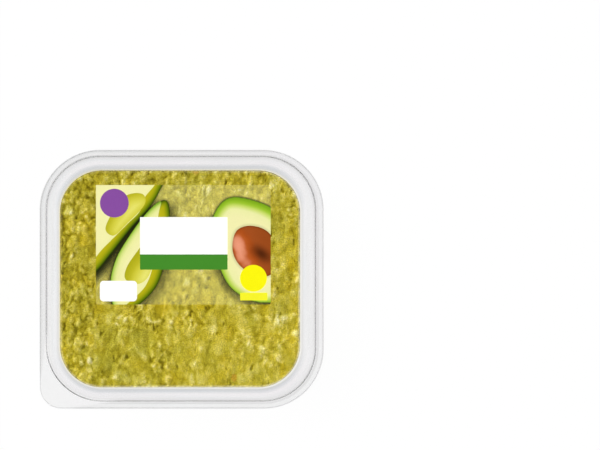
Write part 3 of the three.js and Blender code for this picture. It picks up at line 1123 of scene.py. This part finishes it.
def shadow_of(outline, points, lean, reach, depth, top):
    """How dark the soft shadow of a fruit is at each point."""
    near = smooth_step(reach, 0, distance_to(outline + lean, points))
    return depth * near * smooth_step(top, top - SHADOW_FADE, points[:, 1])


def seen_along(points, turn):
    """Each point's place along and across a line that is turned from the x axis."""
    x, y = points.T
    cos, sin = math.cos(turn), math.sin(turn)
    return cos * x + sin * y, cos * y - sin * x


def make_half(ink, layer):
    half, pit = smooth_curve(HALF), smooth_curve(PIT)
    green = inwards(half + HALF_LEAN, HALF_STOPS)

    def flesh(points):
        shade = 1 - PIT_SHADE[1] * smooth_step(PIT_SHADE[0], 0, distance_to(pit, points))
        rind = smooth_step(*RIND_SPAN, distance_to(half, points))[:, None]
        return (green(points) * (1 - rind) + HALF_RIND * rind) * shade[:, None]

    def stone(points):
        across, along = seen_along(points - PIT_GLEAM, PIT_GLEAM_TURN)
        from_gleam = np.hypot(across * PIT_GLEAM_FADE[0], along * PIT_GLEAM_FADE[1])
        from_gleam += pattern(*(points - PIT_GLEAM).T, *PIT_PATCHES)
        along, across = seen_along(points - PIT_DIMPLE, PIT_DIMPLE_TURN)
        from_dimple = np.hypot(along / PIT_DIMPLE_SIZE[0], across / PIT_DIMPLE_SIZE[1])
        shade = 1 - PIT_EDGE[1] * smooth_step(PIT_EDGE[0], 0, distance_to(pit, points))
        shade *= 1 - PIT_DIMPLE_SHADE * smooth_step(1, 0, from_dimple)
        return graded(from_gleam, PIT_STOPS) * shade[:, None]

    print_field(ink, "half", half, layer, flesh)
    print_field(ink, "pit", pit, layer + 1, stone)
    return half


def make_label():
    ink = printed("label_ink")
    fruit = (
        (make_wedge(ink, "wedge_a", WEDGE_A, 1, HOLLOW_LEAN_A), WEDGE_A_SHADOW),
        (make_wedge(ink, "wedge_b", WEDGE_B, 4, HOLLOW_LEAN_B), WEDGE_B_SHADOW),
        (make_half(ink, 1), HALF_SHADOW),
    )
    for name, (outline, colour) in PLAIN_FIELDS.items():
        print_field(ink, name, outline, PLAIN_LAYER, colour)

    def wash(points):
        """A milky wash, with the soft shadows that the fruit casts."""
        lit = np.ones(len(points))
        for outline, shadow in fruit:
            contact = smooth_step(CONTACT_SHADE[0], 0, distance_to(outline, points))
            lit *= 1 - CONTACT_SHADE[1] * contact
            lit *= 1 - shadow_of(outline, points, **shadow)
        opacity = WASH * lit + 1 - lit
        share = (WASH * lit / opacity)[:, None]
        return np.column_stack([share * MILK + (1 - share) * SHADOW, opacity])

    outline = rectangle(*LABEL_LOW[:2], *LABEL_HIGH[:2], SHEET_CORNER)
    bottom, top = LABEL_LOW[2] + LABEL_GAP, LABEL_LOW[2] + SHEET_THICKNESS
    sheet = printed("label_sheet_print", False)
    plate("label_sheet", outline, bottom, top, wash, sheet, "label")


# ---- Floor, lights and camera ----

PHOTO_SIZE = (600, 450)  # pixels
PIXELS_PER_MM = 2.333
OBJECT_PIXEL = (181.6, 279.4)  # where the middle of the cut edge lies in the frame
CAMERA_HEIGHT = 1400
SENSOR = 36
FLOOR_SIZE = 12  # metres
FLOOR_DROP = 0.2  # how far the floor lies under the tub, so that the two don't touch
HORIZON = 1.0  # brightness of the surroundings at eye level
ZENITH = 0.015  # and overhead
HORIZON_BAND = (0.05, 0.36)  # the heights, as a share of straight up, between which it fades


def make_floor():
    bpy.ops.mesh.primitive_plane_add(size=FLOOR_SIZE, location=(0, 0, -FLOOR_DROP * MM))
    floor = bpy.context.object
    floor.name = "floor"
    floor.data.materials.append(pale_floor())


def make_camera():
    middle_x = (PHOTO_SIZE[0] / 2 - OBJECT_PIXEL[0]) / PIXELS_PER_MM
    middle_y = (OBJECT_PIXEL[1] - PHOTO_SIZE[1] / 2) / PIXELS_PER_MM
    data = bpy.data.cameras.new("camera")
    data.sensor_width = SENSOR
    data.lens = SENSOR * (CAMERA_HEIGHT - TUB_HEIGHT) / (PHOTO_SIZE[0] / PIXELS_PER_MM)
    data.clip_start = 0.05
    camera = new_object("camera", data)
    camera.location = (middle_x * MM, middle_y * MM, CAMERA_HEIGHT * MM)
    bpy.context.scene.camera = camera


def area_light(name, location, size, power):
    data = bpy.data.lights.new(name, "AREA")
    data.shape = "DISK"
    data.size = size
    data.energy = power
    light = new_object(name, data)
    light.location = location
    light.visible_glossy = False
    light.visible_transmission = False
    direction = Vector((0, 0, 0)) - light.location
    light.rotation_euler = direction.to_track_quat("-Z", "Y").to_euler()


def make_lights():
    area_light("key", location=(-4.6, 2.4, 4.4), size=5.6, power=690)
    area_light("fill", location=(4.8, -2.0, 4.0), size=6.4, power=172)
    world = bpy.data.worlds.new("studio")
    bpy.context.scene.world = world
    world.use_nodes = True
    nodes, links = world.node_tree.nodes, world.node_tree.links
    background = nodes["Background"]
    direction = nodes.new("ShaderNodeTexCoord")
    split = nodes.new("ShaderNodeSeparateXYZ")
    fade = nodes.new("ShaderNodeMapRange")
    fade.interpolation_type = "SMOOTHSTEP"
    background.inputs["Color"].default_value = (1, 1, 1, 1)
    links.new(direction.outputs["Generated"], split.inputs[0])
    links.new(split.outputs["Z"], fade.inputs["Value"])
    ends = zip(("From Min", "From Max", "To Min", "To Max"), (*HORIZON_BAND, HORIZON, ZENITH))
    for name, value in ends:
        fade.inputs[name].default_value = value
    links.new(fade.outputs["Result"], background.inputs["Strength"])


scene = bpy.context.scene
scene.view_settings.view_transform = "Standard"
make_floor()
make_camera()
make_lights()
make_tray()
make_guacamole()
make_film()
make_label()
